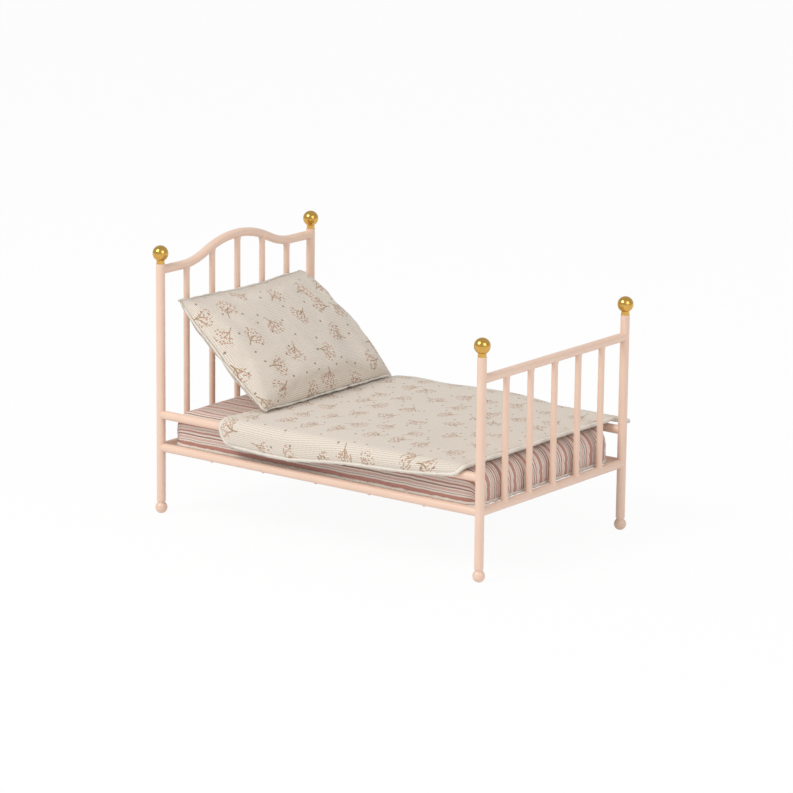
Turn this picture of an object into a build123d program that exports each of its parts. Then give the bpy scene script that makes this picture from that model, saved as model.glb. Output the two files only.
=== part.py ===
"""Miniature four poster bed: welded rod frame, pressed-on balls, loose bedding.

Millimetres, +Z up.  Origin on the floor, midway between the four posts.
The headboard is towards -X and the foot towards +X.  Left is -Y and right is
+Y, as seen from the foot looking at the headboard.
"""
import os
from math import cos, radians, sin, sqrt

from build123d import *

os.makedirs("parts", exist_ok=True)

# ---- driving sizes -------------------------------------------------------
POST_SPAN_X = 173.0  # post centre to post centre along the bed
POST_SPAN_Y = 105.4  # post centre to post centre across the bed
POST_D = 4.0
RAIL_D = 3.9  # a shade under the post, so the coped ends keep their edge
SPINDLE_D = 2.8
SPINDLES = 5  # in each end of the bed
SUPPORTS = 5  # cross rods under the mattress

HEAD_POST_TOP = 112.1
FOOT_POST_TOP = 95.9
POST_BASE = 5.4
SIDE_RAIL_Z = 44.56  # centre of the upper side rails
BASE_RAIL_Z = 29.8  # centre of the four lower rails
FOOT_RAIL_Z = 86.3  # centre of the footboard's top rail
SHOULDER_Z = 109.3  # centre of the headboard's top rail at the posts

CROWN_R = 52.0  # camel back: convex middle arc
SWEEP_R = 36.0  # camel back: concave side arcs
CAMEL_ANGLE = 22.5
CAMEL_STRAIGHT = 4.75

FINIAL_D = 7.0
FINIAL_RISE = 4.6  # ball centre above the post's top
COLLAR_D = 3.6
SPIGOT_D = 2.0
SPIGOT_LENGTH = 4.0
FOOT_BALL_D = 5.4
FOOT_NECK_D = 3.4
FOOT_LAND_D = 2.4  # flat that stands on the floor
WELD_FLARE = 0.5  # extra radius where a spindle meets a rail
WELD_LENGTH = 1.3

# ---- clearances ----------------------------------------------------------
REST_GAP = 0.35  # between loose bedding and what it rests on
END_GAP = 0.55  # bedding to the rails around it
SUPPORT_DROP = 1.6  # cross rods below the tops of the side rails

# ---- bedding -------------------------------------------------------------
MATTRESS_TOP = 46.7
MATTRESS_CORNER = 6.0
DUVET_T = 2.3
DUVET_HEAD_LEFT = -57.0
DUVET_HEAD_RIGHT = -42.0
DUVET_FOOT_LEFT = 80.0
DUVET_FOOT_RIGHT = 76.0
DUVET_OVERHANG = 15.0  # past the right-hand side rail
DUVET_DROOP = 3.0
HEM_LOW = 36.6  # left hem near the head
HEM_HIGH = 44.0  # left hem at the foot
HEM_TURN = -12.0  # where the left hem starts to rise
PILLOW_W = 90.0
PILLOW_H = 62.0
PILLOW_T = 18.0
PILLOW_RIM = 2.4
PILLOW_LEAN = 44.5  # from the upright, in degrees
PILLOW_SHIFT = 4.0  # to the right of the bed's middle

X_POST = POST_SPAN_X / 2
Y_POST = POST_SPAN_Y / 2
HEAD_X = -X_POST
FOOT_X = X_POST
SIDES = {"left": -Y_POST, "right": Y_POST}
ENDS = {"head": HEAD_X, "foot": FOOT_X}
TOPS = {"head": HEAD_POST_TOP, "foot": FOOT_POST_TOP}


def rod(start, end, diameter):
    """A round bar from one point to another."""
    along = Vector(*end) - Vector(*start)
    bar = Cylinder(diameter / 2, along.length, align=(Align.CENTER, Align.CENTER, Align.MIN))
    return Plane(origin=start, z_dir=along) * bar


def one(shape):
    """The single solid of a cut or joined shape."""
    return max(shape.solids(), key=lambda s: s.volume)


def save(name, shape):
    export_step(one(shape), f"parts/{name}.step")
    print(name, round(one(shape).volume, 2))


# ---- posts, finials and ball feet ---------------------------------------
posts = {}
for end, x in ENDS.items():
    for side, y in SIDES.items():
        top = TOPS[end]
        post = rod((x, y, POST_BASE), (x, y, top), POST_D)
        spigot = rod((x, y, top), (x, y, top + SPIGOT_LENGTH), SPIGOT_D)
        posts[end, side] = one(post + spigot)
        save(f"{end}_post_{side}", posts[end, side])

        ball = Pos(x, y, top + FINIAL_RISE) * Sphere(FINIAL_D / 2)
        collar = rod((x, y, top), (x, y, top + FINIAL_RISE), COLLAR_D)
        save(f"{end}_finial_{side}", ball + collar - spigot)

        centre_z = sqrt((FOOT_BALL_D / 2) ** 2 - (FOOT_LAND_D / 2) ** 2)
        foot = Pos(x, y, centre_z) * Sphere(FOOT_BALL_D / 2)
        foot += rod((x, y, centre_z), (x, y, POST_BASE), FOOT_NECK_D)
        foot -= Pos(x, y, -FOOT_BALL_D) * Box(*[2 * FOOT_BALL_D] * 3)
        save(f"{end}_foot_ball_{side}", foot)

# ---- side rails ----------------------------------------------------------
base_rails = {}
for side, y in SIDES.items():
    for level, z in (("upper", SIDE_RAIL_Z), ("lower", BASE_RAIL_Z)):
        rail = rod((HEAD_X, y, z), (FOOT_X, y, z), RAIL_D)
        rail = one(rail - posts["head", side] - posts["foot", side])
        save(f"{level}_side_rail_{side}", rail)
        if level == "lower":
            base_rails[side] = rail


def across(x, z, diameter):
    return rod((x, -Y_POST, z), (x, Y_POST, z), diameter)


def cope(shape, cutters):
    """Saddle the ends of a bar on the pieces it is welded to."""
    for cutter in cutters:
        shape = shape - cutter
    return one(shape)


# ---- end rails -----------------------------------------------------------
end_rails = {}
for end, x in ENDS.items():
    pair = [posts[end, side] for side in SIDES]
    low = cope(across(x, BASE_RAIL_Z, RAIL_D), pair + list(base_rails.values()))
    end_rails[end, "bottom"] = low
    save(f"{end}_bottom_rail", low)

foot_pair = [posts["foot", side] for side in SIDES]
end_rails["foot", "top"] = cope(across(FOOT_X, FOOT_RAIL_Z, RAIL_D), foot_pair)
save("foot_top_rail", end_rails["foot", "top"])

turn = radians(CAMEL_ANGLE)
CROWN_Y = CROWN_R * sin(turn)
CROWN_DROP = CROWN_R * (1 - cos(turn))
SLOPE_Y = CAMEL_STRAIGHT * cos(turn)
SLOPE_DROP = CAMEL_STRAIGHT * sin(turn)
SWEEP_Y = SWEEP_R * sin(turn)
SWEEP_DROP = SWEEP_R * (1 - cos(turn))
SHOULDER_Y = CROWN_Y + SLOPE_Y + SWEEP_Y
CROWN_Z = SHOULDER_Z + CROWN_DROP + SLOPE_DROP + SWEEP_DROP


def camel_z(y):
    """Height of the headboard rail's centre line."""
    y = abs(y)
    if y >= SHOULDER_Y:
        return SHOULDER_Z
    if y >= CROWN_Y + SLOPE_Y:
        return SHOULDER_Z + SWEEP_R - sqrt(SWEEP_R**2 - (SHOULDER_Y - y) ** 2)
    if y >= CROWN_Y:
        return CROWN_Z - CROWN_DROP - (y - CROWN_Y) * sin(turn) / cos(turn)
    return CROWN_Z - CROWN_R + sqrt(CROWN_R**2 - y**2)


def on_camel(y):
    return (HEAD_X, y, camel_z(y))


def camel_arc(a, b):
    return ThreePointArc(on_camel(a), on_camel((a + b) / 2), on_camel(b))


knee = CROWN_Y + SLOPE_Y
camel_path = Wire(
    [
        Line(on_camel(-Y_POST), on_camel(-SHOULDER_Y)),
        camel_arc(-SHOULDER_Y, -knee),
        Line(on_camel(-knee), on_camel(-CROWN_Y)),
        camel_arc(-CROWN_Y, CROWN_Y),
        Line(on_camel(CROWN_Y), on_camel(knee)),
        camel_arc(knee, SHOULDER_Y),
        Line(on_camel(SHOULDER_Y), on_camel(Y_POST)),
    ]
)
camel_section = Plane(origin=on_camel(-Y_POST), z_dir=(0, 1, 0)) * Circle(RAIL_D / 2)
camel = sweep(camel_section, path=camel_path)
head_pair = [posts["head", side] for side in SIDES]
end_rails["head", "top"] = cope(camel, head_pair)
save("head_top_rail", end_rails["head", "top"])

# ---- spindles ------------------------------------------------------------
PITCH = POST_SPAN_Y / (SPINDLES + 1)
flare_h = RAIL_D / 2 + WELD_LENGTH
flare_r = SPINDLE_D / 2 + WELD_FLARE
seat = (Align.CENTER, Align.CENTER, Align.MIN)
hang = (Align.CENTER, Align.CENTER, Align.MAX)
for end, x in ENDS.items():
    for number in range(1, SPINDLES + 1):
        y = (number - (SPINDLES + 1) / 2) * PITCH
        top = camel_z(y) if end == "head" else FOOT_RAIL_Z
        bar = rod((x, y, BASE_RAIL_Z), (x, y, top), SPINDLE_D)
        bar += Pos(x, y, BASE_RAIL_Z) * Cone(flare_r, SPINDLE_D / 2, flare_h, align=seat)
        bar += Pos(x, y, top) * Cone(SPINDLE_D / 2, flare_r, flare_h, align=hang)
        pair = [end_rails[end, "bottom"], end_rails[end, "top"]]
        save(f"{end}_spindle_{number}", cope(bar, pair))

# ---- mattress supports ---------------------------------------------------
support_z = BASE_RAIL_Z + RAIL_D / 2 - SUPPORT_DROP - SPINDLE_D / 2
for number in range(1, SUPPORTS + 1):
    x = (number - (SUPPORTS + 1) / 2) * POST_SPAN_X / (SUPPORTS + 1)
    bar = cope(across(x, support_z, SPINDLE_D), base_rails.values())
    save(f"mattress_support_{number}", bar)

# ---- mattress ------------------------------------------------------------
mattress_base = support_z + SPINDLE_D / 2 + REST_GAP
mattress_t = MATTRESS_TOP - mattress_base
mattress_l = POST_SPAN_X - POST_D - 2 * END_GAP
mattress_w = POST_SPAN_Y - POST_D - 2 * END_GAP
mattress = Pos(0, 0, mattress_base + mattress_t / 2) * Box(mattress_l, mattress_w, mattress_t)
mattress = fillet(mattress.edges().filter_by(Axis.Z), MATTRESS_CORNER)
mattress = fillet(mattress.edges().group_by(Axis.Z)[-1], 5.0)
mattress = fillet(mattress.edges().group_by(Axis.Z)[0], 3.0)
save("mattress", mattress)

# ---- duvet ---------------------------------------------------------------
duvet_under = MATTRESS_TOP + REST_GAP
duvet_top = duvet_under + DUVET_T
hang_in = -(Y_POST + RAIL_D / 2 + 0.4)
hang_out = hang_in - DUVET_T
far_y = Y_POST + DUVET_OVERHANG
profile = make_face(
    Polyline(
        (hang_out, HEM_LOW),
        (hang_out, duvet_top),
        (Y_POST, duvet_top),
        (far_y, duvet_top - DUVET_DROOP),
        (far_y - 0.4, duvet_under - DUVET_DROOP),
        (Y_POST - 0.2, duvet_under),
        (hang_in, duvet_under),
        (hang_in, HEM_LOW),
        close=True,
    )
)
outer = profile.vertices().sort_by_distance((hang_out, duvet_top, 0))[0]
profile = fillet(outer, 2.35 + DUVET_T)
inner = profile.vertices().sort_by_distance((hang_in, duvet_under, 0))[0]
profile = fillet(inner, 2.35)
reach = POST_SPAN_X
duvet = extrude(Plane.YZ.offset(-reach / 2) * profile, amount=reach, dir=(1, 0, 0))
plan = make_face(
    Polyline(
        (DUVET_HEAD_LEFT, hang_out - 1),
        (DUVET_FOOT_LEFT, hang_out - 1),
        (DUVET_FOOT_RIGHT, far_y + 1),
        (DUVET_HEAD_RIGHT, far_y + 1),
        close=True,
    )
)
plan = fillet(plan.vertices(), 6.0)
duvet = duvet & extrude(plan, amount=100, dir=(0, 0, 1))
hem = make_face(
    Polyline(
        (-reach, 0),
        (reach, 0),
        (reach, HEM_HIGH + (reach - DUVET_FOOT_LEFT) * 0.08),
        (DUVET_FOOT_LEFT, HEM_HIGH),
        (HEM_TURN, HEM_LOW + 0.4),
        (-reach, HEM_LOW + 0.4),
        close=True,
    )
)
hem_cut = extrude(Plane.XZ.offset(-hang_in - 1) * hem, amount=6, dir=(0, -1, 0))
save("duvet", duvet - hem_cut)

# ---- pillow --------------------------------------------------------------


def pillow_half():
    """From the rim up to the crown, in straight-sided steps of the dome."""
    rings = []
    for share in (1.0, 0.92, 0.8, 0.64, 0.44):
        height = PILLOW_RIM / 2 + (PILLOW_T - PILLOW_RIM) / 2 * (1 - share**2)
        ring = RectangleRounded(PILLOW_W * share, PILLOW_H * share, 8.0 * share)
        rings.append(Pos(0, 0, height) * ring)
    return loft(rings, ruled=True)


upper = pillow_half()
rim = extrude(RectangleRounded(PILLOW_W, PILLOW_H, 8.0), amount=PILLOW_RIM / 2, both=True)
pillow = one(rim + upper + Rot(180, 0, 0) * upper)
lean = radians(PILLOW_LEAN)
rim_low = PILLOW_H / 2 * cos(lean) + PILLOW_RIM / 2 * sin(lean)
rim_back = PILLOW_H / 2 * sin(lean) + PILLOW_RIM / 2 * cos(lean)
pillow_z = duvet_top + REST_GAP + rim_low
pillow_x = HEAD_X + RAIL_D / 2 + 0.4 + rim_back
seat_plane = Plane(
    origin=(pillow_x, PILLOW_SHIFT, pillow_z),
    x_dir=(0, 1, 0),
    z_dir=(cos(lean), 0, sin(lean)),
)
save("pillow", seat_plane * pillow)
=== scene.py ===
# %% [markdown]
# # A miniature metal bed with loose bedding
# The real toy is a welded frame of thin rod, painted powder pink, with brass
# balls on its posts. A striped mattress, a quilt and a pillow lie on it loose.
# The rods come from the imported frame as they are, because a rod is a rod. The
# three soft pieces are made here, from two sheets of cloth sewn at the rim.

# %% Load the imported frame
import math

import bpy
from mathutils import Matrix, Vector, noise


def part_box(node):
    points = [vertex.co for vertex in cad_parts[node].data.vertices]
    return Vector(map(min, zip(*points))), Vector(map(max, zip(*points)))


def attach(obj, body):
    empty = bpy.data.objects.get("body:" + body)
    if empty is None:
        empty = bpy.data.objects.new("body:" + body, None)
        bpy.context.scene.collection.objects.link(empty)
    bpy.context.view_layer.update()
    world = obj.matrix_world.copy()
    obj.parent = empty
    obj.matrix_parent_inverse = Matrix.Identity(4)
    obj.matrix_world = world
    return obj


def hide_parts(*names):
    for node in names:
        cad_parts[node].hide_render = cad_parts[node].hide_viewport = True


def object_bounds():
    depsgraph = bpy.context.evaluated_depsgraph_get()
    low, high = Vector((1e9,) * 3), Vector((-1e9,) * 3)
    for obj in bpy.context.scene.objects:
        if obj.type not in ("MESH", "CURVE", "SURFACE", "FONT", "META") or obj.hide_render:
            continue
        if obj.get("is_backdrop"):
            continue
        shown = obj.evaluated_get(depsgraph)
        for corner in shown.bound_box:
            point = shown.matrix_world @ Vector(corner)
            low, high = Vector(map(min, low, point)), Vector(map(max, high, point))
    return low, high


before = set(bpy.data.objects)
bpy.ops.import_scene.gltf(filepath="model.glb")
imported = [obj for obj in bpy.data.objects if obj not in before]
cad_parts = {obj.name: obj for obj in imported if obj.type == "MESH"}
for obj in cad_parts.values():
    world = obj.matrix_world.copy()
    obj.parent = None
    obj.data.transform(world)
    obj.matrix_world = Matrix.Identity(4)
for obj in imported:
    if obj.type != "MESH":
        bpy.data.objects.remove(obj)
cad_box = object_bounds()
scene = bpy.context.scene
MM = 0.001
print("nodes:", len(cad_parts))

# %% [markdown]
# ## Small helpers for shader nodes
# Materials here are built from maths on cloth coordinates. One function adds a
# Math node, and another starts a node group with named sockets.

# %% Shader helpers


def calc(tree, operation, *values):
    """Add a Math node; each value is a number or a socket."""
    node = tree.nodes.new("ShaderNodeMath")
    node.operation = operation
    for place, value in enumerate(values):
        if isinstance(value, (int, float)):
            node.inputs[place].default_value = value
        else:
            tree.links.new(value, node.inputs[place])
    return node.outputs[0]


def tint(tree, mask, under, over):
    """Lay one colour over another where the mask is 1."""
    node = tree.nodes.new("ShaderNodeMix")
    node.data_type = "RGBA"
    for place, value in ((0, mask), (6, under), (7, over)):
        if isinstance(value, (int, float)):
            node.inputs[place].default_value = value
        elif isinstance(value, tuple):
            node.inputs[place].default_value = (*value, 1)
        else:
            tree.links.new(value, node.inputs[place])
    return node.outputs[2]


def noise_at(tree, vector, scale, detail=2.0):
    node = tree.nodes.new("ShaderNodeTexNoise")
    node.inputs["Scale"].default_value = scale
    node.inputs["Detail"].default_value = detail
    if vector is not None:
        tree.links.new(vector, node.inputs["Vector"])
    return node.outputs["Fac"]


def start_group(name, inputs, outputs):
    group = bpy.data.node_groups.new(name, "ShaderNodeTree")
    for label, kind, default in inputs:
        socket = group.interface.new_socket(label, in_out="INPUT", socket_type=kind)
        if default is not None:
            socket.default_value = default
    for label, kind in outputs:
        group.interface.new_socket(label, in_out="OUTPUT", socket_type=kind)
    into = group.nodes.new("NodeGroupInput").outputs
    out = group.nodes.new("NodeGroupOutput").inputs
    return group, into, out


FLOAT, VECTOR, COLOUR = "NodeSocketFloat", "NodeSocketVector", "NodeSocketColor"

# %% [markdown]
# ## The weave
# Plain weave is two sets of threads at right angles. A sine across each set
# gives rounded threads, and a noise makes some threads thicker, as in
# linen. The group takes cloth coordinates in millimetres.

# %% Plain weave group
weave, w_in, w_out = start_group(
    "plain_weave",
    [("Cloth mm", VECTOR, None), ("Thread mm", FLOAT, 0.5)],
    [("Height", FLOAT), ("Shade", FLOAT)],
)
split = weave.nodes.new("ShaderNodeSeparateXYZ")
weave.links.new(w_in["Cloth mm"], split.inputs[0])
threads = []
for axis in (0, 1):
    turn = calc(weave, "DIVIDE", split.outputs[axis], w_in["Thread mm"])
    wave = calc(weave, "SINE", calc(weave, "MULTIPLY", turn, math.pi))
    threads.append(calc(weave, "ABSOLUTE", wave))
knit = calc(weave, "MULTIPLY", calc(weave, "ADD", *threads), 0.5)
slub = noise_at(weave, w_in["Cloth mm"], 1.3, 3.0)
height = calc(weave, "MULTIPLY", knit, calc(weave, "ADD", slub, 0.5))
weave.links.new(height, w_out["Height"])
weave.links.new(calc(weave, "MULTIPLY_ADD", height, 0.8, 0.42), w_out["Shade"])

# %% [markdown]
# ## The sprigged print
# A ditsy print repeats one small sprig, each turned its own way. A Voronoi
# texture gives every cell a centre and a random number, so one sprig drawn
# round that centre and turned by that number fills the whole cloth.

# %% Sprig group
sprigs, s_in, s_out = start_group(
    "ditsy_sprigs",
    [("Cloth mm", VECTOR, None), ("Spacing mm", FLOAT, 16.5)],
    [("Stem", FLOAT), ("Blossom", FLOAT), ("Speck", FLOAT)],
)


def cells(tree, vector, scale, jitter=1.0):
    node = tree.nodes.new("ShaderNodeTexVoronoi")
    node.voronoi_dimensions = "2D"
    node.inputs["Randomness"].default_value = jitter
    tree.links.new(vector, node.inputs["Vector"])
    if isinstance(scale, (int, float)):
        node.inputs["Scale"].default_value = scale
    else:
        tree.links.new(scale, node.inputs["Scale"])
    return node.outputs


def below(tree, value, limit):
    return calc(tree, "LESS_THAN", value, limit)


def both(tree, *masks):
    joined = masks[0]
    for mask in masks[1:]:
        joined = calc(tree, "MULTIPLY", joined, mask)
    return joined


per_mm = calc(sprigs, "DIVIDE", 1.0, s_in["Spacing mm"])
home = cells(sprigs, s_in["Cloth mm"], per_mm, 0.55)
offset = sprigs.nodes.new("ShaderNodeVectorMath")
offset.operation = "SUBTRACT"
sprigs.links.new(s_in["Cloth mm"], offset.inputs[0])
sprigs.links.new(home["Position"], offset.inputs[1])
spin = sprigs.nodes.new("ShaderNodeVectorRotate")
spin.rotation_type = "Z_AXIS"
sprigs.links.new(offset.outputs[0], spin.inputs["Vector"])
sprigs.links.new(calc(sprigs, "MULTIPLY", home["Color"], 2 * math.pi), spin.inputs["Angle"])
local = sprigs.nodes.new("ShaderNodeSeparateXYZ")
sprigs.links.new(spin.outputs[0], local.inputs[0])
px, py = local.outputs[0], local.outputs[1]

# One sprig, in millimetres from its own centre.
STEM_HALF, STEM_FOOT, STEM_HEAD = 0.26, -4.6, 2.0
TWIG_HALF, TWIG_FOOT, TWIG_HEAD = 0.22, -2.2, 1.6
HEAD_WIDE, HEAD_TALL, HEAD_AT = 5.2, 3.4, 1.9
bow = calc(sprigs, "MULTIPLY", calc(sprigs, "MULTIPLY", py, py), 0.06)
from_stem = calc(sprigs, "ABSOLUTE", calc(sprigs, "SUBTRACT", px, bow))
in_stem = both(
    sprigs,
    below(sprigs, from_stem, STEM_HALF),
    below(sprigs, py, STEM_HEAD),
    calc(sprigs, "GREATER_THAN", py, STEM_FOOT),
)
reach = calc(sprigs, "MULTIPLY_ADD", py, 0.8, 1.8)
past_twig = calc(sprigs, "SUBTRACT", calc(sprigs, "ABSOLUTE", px), reach)
from_twig = calc(sprigs, "ABSOLUTE", past_twig)
in_twig = both(
    sprigs,
    below(sprigs, from_twig, TWIG_HALF),
    below(sprigs, py, TWIG_HEAD),
    calc(sprigs, "GREATER_THAN", py, TWIG_FOOT),
)
sprigs.links.new(calc(sprigs, "MAXIMUM", in_stem, in_twig), s_out["Stem"])

wide = calc(sprigs, "POWER", calc(sprigs, "DIVIDE", calc(sprigs, "ABSOLUTE", px), HEAD_WIDE), 2.0)
rise = calc(sprigs, "ABSOLUTE", calc(sprigs, "SUBTRACT", py, HEAD_AT))
tall = calc(sprigs, "POWER", calc(sprigs, "DIVIDE", rise, HEAD_TALL), 2.0)
in_head = below(sprigs, calc(sprigs, "ADD", wide, tall), 1.0)
buds = cells(sprigs, s_in["Cloth mm"], 0.74)
in_bud = both(sprigs, in_head, below(sprigs, buds["Distance"], 0.31))
sprigs.links.new(in_bud, s_out["Blossom"])
flecks = cells(sprigs, s_in["Cloth mm"], 0.1)
sprigs.links.new(below(sprigs, flecks["Distance"], 0.055), s_out["Speck"])

# %% [markdown]
# ## Ticking stripes
# The stripes are woven in, so they follow the cloth: a colour ramp with hard
# steps, read across the cloth and repeated.

# %% Stripe group
CREAM = (0.88, 0.79, 0.70)
ROSE = (0.60, 0.31, 0.26)
BLUSH = (0.74, 0.50, 0.44)
MAUVE = (0.42, 0.24, 0.21)
SLATE = (0.42, 0.33, 0.32)
STRIPE_REPEAT = 9.5
stripes = (
    (0.0, CREAM), (0.09, ROSE), (0.31, CREAM), (0.39, SLATE), (0.42, CREAM),
    (0.48, BLUSH), (0.58, CREAM), (0.64, MAUVE), (0.71, CREAM), (0.79, ROSE),
    (0.88, CREAM), (0.95, BLUSH),
)
ticking, t_in, t_out = start_group(
    "ticking_stripes", [("Cloth mm", VECTOR, None)], [("Color", COLOUR)]
)
across = ticking.nodes.new("ShaderNodeSeparateXYZ")
ticking.links.new(t_in["Cloth mm"], across.inputs[0])
drift = noise_at(ticking, t_in["Cloth mm"], 0.08)
wobble = calc(ticking, "MULTIPLY_ADD", drift, 1.2, across.outputs[1])
ramp = ticking.nodes.new("ShaderNodeValToRGB")
ramp.color_ramp.interpolation = "CONSTANT"
for place, (stop, colour) in enumerate(stripes):
    if place < 2:
        mark = ramp.color_ramp.elements[place]
        mark.position = stop
    else:
        mark = ramp.color_ramp.elements.new(stop)
    mark.color = (*colour, 1)
FAR_OFF = 500.0  # keeps the count of stripes above 0 on the whole cloth
count = calc(ticking, "DIVIDE", calc(ticking, "ADD", wobble, FAR_OFF), STRIPE_REPEAT)
repeat = calc(ticking, "FRACT", count)
ticking.links.new(repeat, ramp.inputs[0])
ticking.links.new(ramp.outputs[0], t_out["Color"])

# %% [markdown]
# ## Cloth, paint and brass
# Every cloth shares one recipe: cloth coordinates, the weave, a colour, and a
# little sheen. The paint is semi-gloss with the faint unevenness of a dipped
# coat. The balls are lacquered brass.

# %% Materials


def start_material(name, base, roughness):
    material = bpy.data.materials.new(name)
    material.use_nodes = True
    tree = material.node_tree
    shader = tree.nodes["Principled BSDF"]
    shader.inputs["Base Color"].default_value = (*base, 1)
    shader.inputs["Roughness"].default_value = roughness
    return material, tree, shader


def place_group(tree, group, vector, **settings):
    node = tree.nodes.new("ShaderNodeGroup")
    node.node_tree = group
    tree.links.new(vector, node.inputs["Cloth mm"])
    for label, value in settings.items():
        node.inputs[label.replace("_", " ")].default_value = value
    return node.outputs


def bump_on(tree, shader, height, depth, strength):
    bump = tree.nodes.new("ShaderNodeBump")
    bump.inputs["Strength"].default_value = strength
    bump.inputs["Distance"].default_value = depth
    tree.links.new(height, bump.inputs["Height"])
    tree.links.new(bump.outputs[0], shader.inputs["Normal"])


def cloth_material(name, base, kind, thread=0.75):
    material, tree, shader = start_material(name, base, 0.92)
    shader.inputs["Sheen Weight"].default_value = 0.15
    shader.inputs["Specular IOR Level"].default_value = 0.2
    uv = tree.nodes.new("ShaderNodeUVMap")
    uv.uv_map = "cloth"
    scale = tree.nodes.new("ShaderNodeVectorMath")
    scale.operation = "MULTIPLY"
    scale.inputs[1].default_value = (1000, 1000, 0)
    tree.links.new(uv.outputs[0], scale.inputs[0])
    cloth_mm = scale.outputs[0]
    threads = place_group(tree, weave, cloth_mm, Thread_mm=thread)
    colour = base
    if kind == "sprigs":
        print_on = place_group(tree, sprigs, cloth_mm)
        worn = noise_at(tree, cloth_mm, 0.9)
        ink = calc(tree, "MULTIPLY_ADD", worn, 0.6, 0.55)
        colour = tint(tree, calc(tree, "MULTIPLY", print_on["Stem"], ink), base, (0.38, 0.24, 0.11))
        petals = tint(tree, worn, (0.44, 0.20, 0.16), (0.60, 0.40, 0.26))
        colour = tint(tree, calc(tree, "MULTIPLY", print_on["Blossom"], ink), colour, petals)
        colour = tint(tree, calc(tree, "MULTIPLY", print_on["Speck"], 0.8), colour, (0.26, 0.19, 0.12))
    if kind == "stripes":
        colour = place_group(tree, ticking, cloth_mm)["Color"]
    shaded = tint(tree, threads["Shade"], (0.0, 0.0, 0.0), colour)
    tree.links.new(shaded, shader.inputs["Base Color"])
    bump_on(tree, shader, threads["Height"], 0.0002, 0.7)
    return material


LINEN = (0.78, 0.70, 0.61)
sprigged = cloth_material("sprigged_linen", LINEN, "sprigs")
striped = cloth_material("striped_ticking", CREAM, "stripes", 0.45)
binding_cloth = cloth_material("cream_binding", (0.90, 0.84, 0.75), "plain", 0.4)

paint, tree, shader = start_material("powder_pink_paint", (0.79, 0.565, 0.445), 0.34)
shader.inputs["Coat Weight"].default_value = 0.25
shader.inputs["Coat Roughness"].default_value = 0.2
place = tree.nodes.new("ShaderNodeTexCoord").outputs["Object"]
blotch = noise_at(tree, place, 90.0, 3.0)
coat = tint(tree, blotch, (0.765, 0.535, 0.415), (0.82, 0.60, 0.48))
tree.links.new(coat, shader.inputs["Base Color"])
peel = noise_at(tree, place, 1400.0, 1.0)
tree.links.new(calc(tree, "MULTIPLY_ADD", peel, 0.16, 0.27), shader.inputs["Roughness"])
bump_on(tree, shader, peel, 0.0001, 0.12)

brass, tree, shader = start_material("lacquered_brass", (0.80, 0.50, 0.13), 0.14)
shader.inputs["Metallic"].default_value = 1.0
place = tree.nodes.new("ShaderNodeTexCoord").outputs["Object"]
tarnish = noise_at(tree, place, 350.0, 4.0)
metal = tint(tree, tarnish, (0.56, 0.31, 0.06), (0.80, 0.50, 0.14))
tree.links.new(metal, shader.inputs["Base Color"])
tree.links.new(calc(tree, "MULTIPLY_ADD", tarnish, 0.12, 0.1), shader.inputs["Roughness"])

for name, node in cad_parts.items():
    finish = brass if "finial" in name else paint
    node.data.materials.clear()
    node.data.materials.append(finish)
    for face in node.data.polygons:
        face.material_index = 0
print("materials:", len(bpy.data.materials))

# %% [markdown]
# ## Two sheets sewn at the rim
# A mattress cover, a quilt and a pillowcase are all the same thing: two sheets
# joined all round. This builder takes a rule for each sheet and the flat size
# of the cloth, and keeps where each point was on the flat cloth as its UV.

# %% Shell builder


def cloth_object(name, points, faces, flat):
    """A smooth mesh that keeps each point's place on the flat cloth as its UV."""
    mesh = bpy.data.meshes.new(name)
    mesh.from_pydata(points, [], faces)
    layer = mesh.uv_layers.new(name="cloth")
    for loop in mesh.loops:
        layer.data[loop.index].uv = flat[loop.vertex_index]
    for face in mesh.polygons:
        face.use_smooth = True
    obj = bpy.data.objects.new(name, mesh)
    scene.collection.objects.link(obj)
    return obj


def sew(name, upper, lower, size, steps):
    """Two grids that share their rim; returns the object and its rim in order."""
    wide, long = size
    nu, nv = steps
    points, flat, index = [], [], {}
    for sheet, rule in (("upper", upper), ("lower", lower)):
        for i in range(nu + 1):
            for j in range(nv + 1):
                rim = i in (0, nu) or j in (0, nv)
                if rim and sheet == "lower":
                    index[sheet, i, j] = index["upper", i, j]
                    continue
                index[sheet, i, j] = len(points)
                points.append(rule(i / nu, j / nv))
                flat.append(((i / nu - 0.5) * wide, (j / nv - 0.5) * long))
    faces = []
    for sheet in ("upper", "lower"):
        for i in range(nu):
            for j in range(nv):
                ring = [index[sheet, i + a, j + b] for a, b in ((0, 0), (1, 0), (1, 1), (0, 1))]
                faces.append(ring if sheet == "upper" else ring[::-1])
    obj = cloth_object(name, points, faces, flat)
    loop_ij = [(i, 0) for i in range(nu)] + [(nu, j) for j in range(nv)]
    loop_ij += [(i, nv) for i in range(nu, 0, -1)] + [(0, j) for j in range(nv, 0, -1)]
    return obj, [index["upper", i, j] for i, j in loop_ij]


def tube(name, points, radius, ripple):
    """A sewn cord or rolled edge round a ring of points, a little uneven."""
    sides, rings = 10, len(points)
    verts, faces, uvs = [], [], []
    for k, here in enumerate(points):
        along = (points[(k + 1) % rings] - points[k - 1]).normalized()
        side = along.cross(Vector((0, 0, 1)))
        side = side.normalized() if side.length > 1e-6 else Vector((1, 0, 0))
        up = side.cross(along)
        size = radius * (1 + ripple * noise.noise(here * 900))
        for s in range(sides):
            turn = 2 * math.pi * s / sides
            verts.append(here + (side * math.cos(turn) + up * math.sin(turn)) * size)
            uvs.append((k * 0.0008, s * 0.0005))
    for k in range(rings):
        this, after = k * sides, ((k + 1) % rings) * sides
        for s in range(sides):
            t = (s + 1) % sides
            faces.append((this + s, this + t, after + t, after + s))
    return cloth_object(name, verts, faces, uvs)


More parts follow.
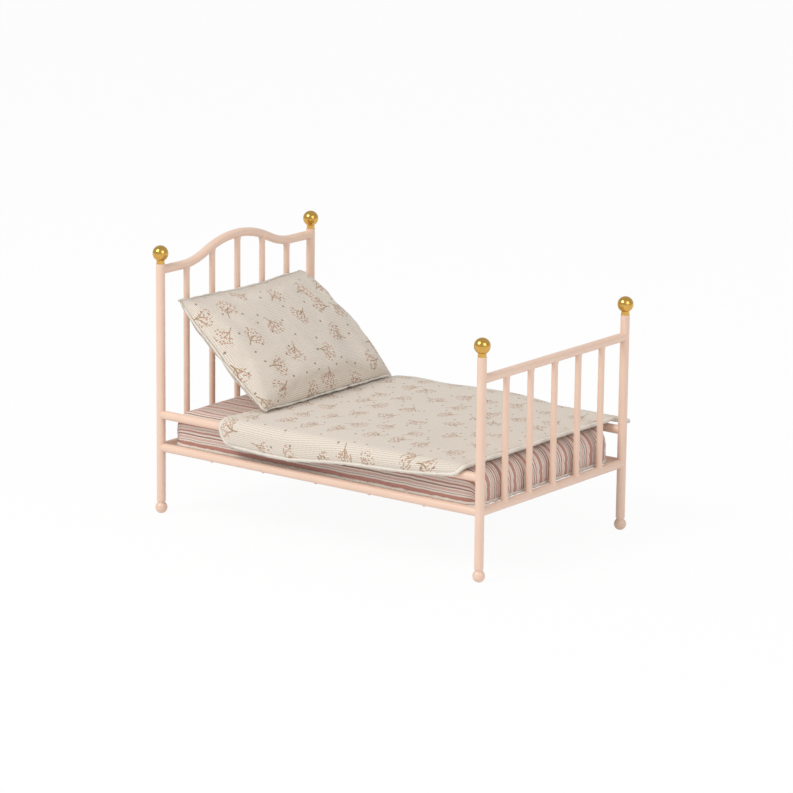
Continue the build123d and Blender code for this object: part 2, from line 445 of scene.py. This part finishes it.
def rim_points(obj, rim, shortest):
    """The rim in order, without points that crowd together in the corners."""
    line = [obj.data.vertices[k].co.copy() for k in rim]
    return [a for a, b in zip(line, line[1:] + line[:1]) if (a - b).length > shortest]


def finish_piece(obj, material, body):
    obj.data.materials.append(material)
    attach(obj, body)
    print(obj.name, "faces", len(obj.data.polygons))


# %% [markdown]
# ## The mattress
# A flat bag stuffed firm: the top cloth rolls over the sides and ends down to a
# seam near the bottom, where it is gathered. Each flat direction is rolled over
# its own edge, which keeps the stripes running down the ends as they do in
# cloth, and the corners are rounded off in plan.

# %% Mattress
low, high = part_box("mattress")
half_x, half_y = high.x - 0.1 * MM, high.y
top_z, base_z = high.z - 0.2 * MM, low.z
SEAM_Z = base_z + 0.9 * MM
CORNER = 8 * MM
ROLL = 7 * MM


def rolled(flat, half, roll):
    """Where a point of the cloth lies: how far out, and how far down (0 to 1)."""
    size, sign = abs(flat), math.copysign(1, flat)
    drop = top_z - SEAM_Z
    bend = roll * math.pi / 2
    if size < half - roll:
        return flat, 0.0
    size -= half - roll
    if size < bend:
        turn = size / roll
        return sign * (half - roll + roll * math.sin(turn)), roll * (1 - math.cos(turn)) / drop
    down = min(roll + size - bend, drop)
    belly = 0.4 * MM * math.sin(math.pi * min((size - bend) / max(drop - roll, 1e-6), 1))
    return sign * (half - 0.4 * MM + belly), down / drop


def round_corner(x, y, hx, hy, radius):
    dx, dy = abs(x) - (hx - radius), abs(y) - (hy - radius)
    if dx > 0 and dy > 0:
        shrink = max(dx, dy) / math.hypot(dx, dy)
        dx, dy = dx * shrink, dy * shrink
        x = math.copysign(hx - radius + dx, x)
        y = math.copysign(hy - radius + dy, y)
    return x, y


wrap = ROLL * (math.pi / 2 - 1) + top_z - SEAM_Z
FLAT_X, FLAT_Y = 2 * (half_x + wrap), 2 * (half_y + wrap)


def mattress_top(u, v):
    x, down_x = rolled((u - 0.5) * FLAT_X, half_x, ROLL + 2 * MM)
    y, down_y = rolled((v - 0.5) * FLAT_Y, half_y, ROLL - 2 * MM)
    x, y = round_corner(x, y, half_x, half_y, CORNER)
    down = 1 - (1 - down_x) * (1 - down_y)
    gather = 0.45 * MM * max(down - 0.35, 0)
    x -= math.copysign(gather * (1 + noise.noise(Vector((y * 700, 0, 3)))), x)
    y -= math.copysign(gather * (1 + noise.noise(Vector((x * 500, 5, 0)))), y)
    lump = 0.5 * MM * noise.noise(Vector((x * 60, y * 60, 1)))
    z = top_z - (top_z - SEAM_Z) * down - abs(lump) * (1 - down)
    return Vector((x, y, z))


def mattress_base(u, v):
    rim_x, rim_y = (u - 0.5) * 2 * (half_x - 1 * MM), (v - 0.5) * 2 * (half_y - 1 * MM)
    x, y = round_corner(rim_x, rim_y, half_x - 1 * MM, half_y - 1 * MM, CORNER)
    edge = min(u, 1 - u, v, 1 - v) * 40
    return Vector((x, y, base_z + (SEAM_Z - base_z) * max(1 - edge, 0) ** 2))


cut = (FLAT_X, FLAT_Y)
mattress_cover, rim = sew("mattress_cover", mattress_top, mattress_base, cut, (150, 110))
finish_piece(mattress_cover, striped, "mattress")
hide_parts("mattress")
line = rim_points(mattress_cover, rim, 0.25 * MM)
mattress_seam = tube("mattress_seam", line, 0.7 * MM, ripple=0.5)
finish_piece(mattress_seam, binding_cloth, "mattress")

# %% [markdown]
# ## The quilt
# Thin, soft and laid on slightly askew. Across the bed its middle line hangs
# outside the left rail, turns over it, lies flat and droops past the right rail.
# The filling thins out towards the bound edges.

# %% Quilt
q_low, q_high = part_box("duvet")
rail_low, rail_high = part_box("upper_side_rail_left")
RAIL_Y = (rail_low.y + rail_high.y) / 2
THICK = 2.3 * MM
flat_z = q_high.z - THICK / 2
TURN_R = RAIL_Y - (q_low.y + THICK / 2)
turn_z = flat_z - TURN_R
far_y = q_high.y + 2.2 * MM
DROOP = 4.0 * MM
HEAD_LEFT, HEAD_RIGHT = q_low.x + 6 * MM, q_low.x + 15 * MM
FOOT_LEFT, FOOT_RIGHT = q_high.x - 0.5 * MM, q_high.x + 1.2 * MM
arc = TURN_R * math.pi / 2
flat_run = far_y - RAIL_Y


def hem_z(x):
    """The left hem is level near the head and climbs towards the foot."""
    climb = max(x + 12 * MM, 0) / (92 * MM)
    return q_low.z + 0.5 * MM + 7.6 * MM * climb + 0.4 * MM * math.sin(x * 90)


def quilt_line(x, along):
    hang = turn_z - hem_z(x)
    run = hang + arc + flat_run
    s = along * run
    if s < hang:
        return Vector((x, RAIL_Y - TURN_R, hem_z(x) + s)), run
    s -= hang
    if s < arc:
        a = s / TURN_R
        return Vector((x, RAIL_Y - TURN_R * math.cos(a), turn_z + TURN_R * math.sin(a))), run
    y = RAIL_Y + s - arc
    over = max(y + RAIL_Y, 0)
    sink = DROOP * (0.85 + 5.5 * x)  # more towards the foot
    z = flat_z - sink * (over / (far_y + RAIL_Y)) ** 1.3
    wave = 0.6 + 0.5 * noise.noise(Vector((x * 45, y * 40, 7)))
    calm = min(max((x + 32 * MM) / (25 * MM), 0), 1) * min(max((y - RAIL_Y) / (12 * MM), 0), 1)
    z += calm * 1.1 * MM * wave
    z += 1.2 * MM * math.sin(x * 75 + 0.6) * (over / (far_y + RAIL_Y)) * calm
    return Vector((x, y, z)), run


def quilt_middle(u, v):
    ease = 8 * MM
    head = HEAD_LEFT + (HEAD_RIGHT - HEAD_LEFT) * v
    foot = FOOT_LEFT + (FOOT_RIGHT - FOOT_LEFT) * v
    near = min(v, 1 - v) * 130 * MM
    if near < ease:
        cut = ease - math.sqrt(max(ease**2 - (ease - near) ** 2, 0))
        head, foot = head + cut, foot - cut * 0.6
    x = head + (foot - head) * u
    return quilt_line(x, v)[0]


def quilt_sheet(side):
    def rule(u, v):
        here = quilt_middle(u, v)
        du = quilt_middle(min(u + 0.004, 1), v) - quilt_middle(max(u - 0.004, 0), v)
        dv = quilt_middle(u, min(v + 0.004, 1)) - quilt_middle(u, max(v - 0.004, 0))
        normal = du.cross(dv).normalized()
        edge = min(min(u, 1 - u) * 137, min(v, 1 - v) * 130) / 4.0
        fat = math.sqrt(max(1 - (1 - min(edge, 1)) ** 2, 0))
        return here + normal * side * (THICK / 2) * (0.25 + 0.75 * fat if edge else 0)

    return rule


cut = (137 * MM, 130 * MM)
duvet_cover, rim = sew("duvet_cover", quilt_sheet(1), quilt_sheet(-1), cut, (150, 140))
finish_piece(duvet_cover, sprigged, "duvet")
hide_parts("duvet")
line = rim_points(duvet_cover, rim, 0.25 * MM)
duvet_binding = tube("duvet_binding", line, 0.9 * MM, ripple=0.25)
finish_piece(duvet_binding, binding_cloth, "duvet")

# %% [markdown]
# ## The pillow
# Two flat sheets are sewn and then blown up by the cloth solver, which puts the
# thickness where real filling would. The solver likes big things, so the
# pillow is ten times its size while it fills. Left alone it pulled the sides in
# to a star, so a cap holds each point near its place along the cloth.

# %% Fill the pillow
p_low, p_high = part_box("pillow")
PILLOW_W, PILLOW_H, PILLOW_T = 95 * MM, 65 * MM, 18.5 * MM
GROW = 10.0
FILL_FRAMES = 18
MOST_DRIFT = 2.6 * MM * GROW  # how far the cloth may pull in along itself
LEAN = math.radians(44.5)


def flat_case(side):
    def rule(u, v):
        dome = max(math.sin(math.pi * u) * math.sin(math.pi * v), 0) ** 0.5
        x, y = (u - 0.5) * PILLOW_W * GROW, (v - 0.5) * PILLOW_H * GROW
        crease = 0.004 * noise.noise(Vector((x * 8, y * 8, side)))
        return Vector((x, y, side * (0.035 * dome + crease * dome)))

    return rule


cut = (PILLOW_W, PILLOW_H)
pillow_cover, rim = sew("pillow_cover", flat_case(1), flat_case(-1), cut, (62, 44))
cloth = pillow_cover.modifiers.new("filling", "CLOTH")
feel = cloth.settings
feel.quality = 6
feel.mass = 0.3
feel.tension_stiffness = 60
feel.compression_stiffness = 30
feel.shear_stiffness = 8
feel.bending_stiffness = 0.2
feel.use_pressure = True
feel.uniform_pressure_force = 1.5
feel.effector_weights.gravity = 0
cloth.point_cache.frame_start, cloth.point_cache.frame_end = 1, FILL_FRAMES
for step in range(1, FILL_FRAMES + 1):
    scene.frame_set(step)
seen = pillow_cover.evaluated_get(bpy.context.evaluated_depsgraph_get())
filled = bpy.data.meshes.new_from_object(seen)
pillow_cover.modifiers.clear()
for vertex, start in zip(filled.vertices, pillow_cover.data.vertices):
    drift = vertex.co - start.co
    slide = Vector((drift.x, drift.y, 0))
    if slide.length > MOST_DRIFT:
        slide *= MOST_DRIFT / slide.length
    vertex.co = start.co + slide + Vector((0, 0, drift.z))
pillow_cover.data = filled
scene.frame_set(1)

# %% [markdown]
# ## Leaning the pillow
# The filled pillow is brought back to its real size. The solver was held to a
# small pull along the cloth, so the rest of the shape is given here: a
# narrower top, drawn-in corners, a fuller rim, puckers at the seams, a dent and
# a sag. Then it leans on the spindles and stops where it meets quilt and metal.

# %% Lean the pillow on the headboard
TAPER = 0.06
NIP_ACROSS, NIP_UP = 0.04, 0.045
FULLNESS = 0.76  # below 1, the filling reaches further towards the rim
PUCKER = 1.1 * MM
SKEW, TOP_SHIFT = 0.1, 2.2 * MM
SAG = 1.6 * MM
DENT_DEEP, DENT_WIDE, DENT_X, DENT_Y = 1.6 * MM, 9 * MM, 27 * MM, -14 * MM
spots = [v.co.copy() for v in pillow_cover.data.vertices]
reach = [max(abs(p[a]) for p in spots) for a in range(3)]
print("filled pillow, half sizes in mm:", [round(r * 100, 1) for r in reach])
fit = (PILLOW_W / 2 / reach[0], PILLOW_H / 2 / reach[1], PILLOW_T / 2 / reach[2])
middle = (p_low + p_high) / 2
back, rise = math.sin(LEAN), math.cos(LEAN)
lean = Matrix(((0, -back, rise), (1, 0, 0), (0, rise, back)))
rest_z = q_high.z + 0.25 * MM
back_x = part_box("head_spindle_3")[1].x + 0.3 * MM


def shape_pillow(spot):
    """Where a point of the filled pillow ends up on the bed."""
    at = Vector([spot[a] * fit[a] for a in range(3)])
    high_up = at.y * 2 / PILLOW_H
    corner = (at.x * 2 / PILLOW_W) ** 4 * high_up**4
    at.x *= (1 - TAPER * max(high_up, 0)) * (1 - NIP_ACROSS * corner)
    at.y *= 1 - NIP_UP * corner
    puff = abs(at.z) * 2 / PILLOW_T
    at.z = math.copysign(puff**FULLNESS * PILLOW_T / 2, at.z)
    rim_near = max(abs(high_up), abs(at.x) * 2 / PILLOW_W) ** 5
    pucker = noise.noise(Vector((at.x * 170, at.y * 60, 2)))
    pucker += 0.6 * noise.noise(Vector((at.x * 60, at.y * 190, 4)))
    at.z += PUCKER * pucker * (0.35 + 0.65 * rim_near) * min(puff * 2, 1)
    skew = -SKEW * at.y - TOP_SHIFT * max(high_up, 0)
    sag = -SAG * math.cos(at.x / PILLOW_W * math.pi) ** 2 * (at.y > 0)
    at += Vector((skew, sag * at.y * 2 / PILLOW_H, 0))
    from_dent = math.hypot(at.x - DENT_X, at.y - DENT_Y)
    at.z -= DENT_DEEP * math.exp(-((from_dent / DENT_WIDE) ** 2)) * (at.z > 0)
    place = middle + lean @ at
    place.z = max(place.z, rest_z)
    place.x = max(place.x, back_x)
    return place


for vertex, spot in zip(pillow_cover.data.vertices, spots):
    vertex.co = shape_pillow(spot)
for face in pillow_cover.data.polygons:
    face.use_smooth = True
line = rim_points(pillow_cover, rim, 0.2 * MM)
smooth = pillow_cover.modifiers.new("finer", "SUBSURF")
smooth.levels = smooth.render_levels = 1
finish_piece(pillow_cover, sprigged, "pillow")
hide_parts("pillow")
pillow_seam = tube("pillow_seam", line, 0.45 * MM, ripple=0.9)
finish_piece(pillow_seam, binding_cloth, "pillow")

# %% [markdown]
# ## The studio
# A pale floor, a broad soft key from above left and a fill from the right. The
# floor glows white to the camera and in reflections only, so the bedding is lit
# plainly and the floor keeps a faint shadow.

# %% Floor, lights and world
FLOOR = 3.0
mesh = bpy.data.meshes.new("floor")
corners = [(a * FLOOR, b * FLOOR, 0) for a, b in ((-1, -1), (1, -1), (1, 1), (-1, 1))]
mesh.from_pydata(corners, [], [(0, 1, 2, 3)])
floor = bpy.data.objects.new("floor", mesh)
scene.collection.objects.link(floor)
white, tree, shader = start_material("studio_floor", (0.9, 0.9, 0.9), 0.9)
glow = tree.nodes.new("ShaderNodeEmission")
blend = tree.nodes.new("ShaderNodeMixShader")
path = tree.nodes.new("ShaderNodeLightPath").outputs
seen = calc(tree, "MAXIMUM", path["Is Camera Ray"], path["Is Glossy Ray"])
tree.links.new(calc(tree, "MULTIPLY", seen, 0.94), blend.inputs[0])
tree.links.new(shader.outputs[0], blend.inputs[1])
tree.links.new(glow.outputs[0], blend.inputs[2])
tree.links.new(blend.outputs[0], tree.nodes["Material Output"].inputs[0])
floor.data.materials.append(white)
floor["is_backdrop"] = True


def softbox(name, spot, power, size, colour=(1, 1, 1)):
    lamp = bpy.data.lights.new(name, "AREA")
    lamp.energy, lamp.size, lamp.color = power, size, colour
    obj = bpy.data.objects.new(name, lamp)
    scene.collection.objects.link(obj)
    obj.location = spot
    aim = Vector((0, 0, 0.05)) - Vector(spot)
    obj.rotation_euler = aim.to_track_quat("-Z", "Y").to_euler()


softbox("key", (-0.35, -0.9, 1.0), 9.0, 0.6, (1, 0.985, 0.955))
softbox("fill", (1.1, -0.3, 0.7), 3.5, 0.8)

world = bpy.data.worlds.new("studio")
scene.world = world
world.use_nodes = True
sky = world.node_tree
lit = sky.nodes["Background"]
lit.inputs[0].default_value = (1, 1, 1, 1)
path = sky.nodes.new("ShaderNodeLightPath").outputs
seen = calc(sky, "MAXIMUM", path["Is Camera Ray"], path["Is Transmission Ray"])
strength = sky.nodes.new("ShaderNodeMapRange")
strength.inputs["To Min"].default_value = 0.62
strength.inputs["To Max"].default_value = 1.0
sky.links.new(seen, strength.inputs["Value"])
sky.links.new(strength.outputs[0], lit.inputs[1])

# %% [markdown]
# ## The camera
# It stands at the foot's left corner, low, with a long lens, so the posts stay
# nearly parallel.

# %% Camera
YAW, PITCH, ROLL_ANGLE = math.radians(36.92), math.radians(-13.54), 0.01085
ahead = Vector((-math.sin(YAW) * math.cos(PITCH), math.cos(YAW) * math.cos(PITCH), math.sin(PITCH)))
right = ahead.cross(Vector((0, 0, 1))).normalized()
up = right.cross(ahead)
turned_right = right * math.cos(ROLL_ANGLE) + up * math.sin(ROLL_ANGLE)
turned_up = up * math.cos(ROLL_ANGLE) - right * math.sin(ROLL_ANGLE)
lens = bpy.data.cameras.new("camera")
lens.lens, lens.sensor_width = 175.25, 36.0
camera = bpy.data.objects.new("camera", lens)
scene.collection.objects.link(camera)
pose = Matrix((turned_right, turned_up, -ahead)).transposed().to_4x4()
pose.translation = Vector((0.985432, -1.307279, 0.450385))
camera.matrix_world = pose
scene.camera = camera
scene.view_settings.view_transform = "Standard"

# %% [markdown]
# ## Sizes
# The bedding may stand a little proud of the imported frame. Both boxes are
# printed, in metres, so that they can be compared.

# %% Print the sizes and finish
boxes = {"cad": cad_box, "visual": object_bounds()}
plain = {name: [[float(n) for n in corner] for corner in box] for name, box in boxes.items()}
print(boxes)
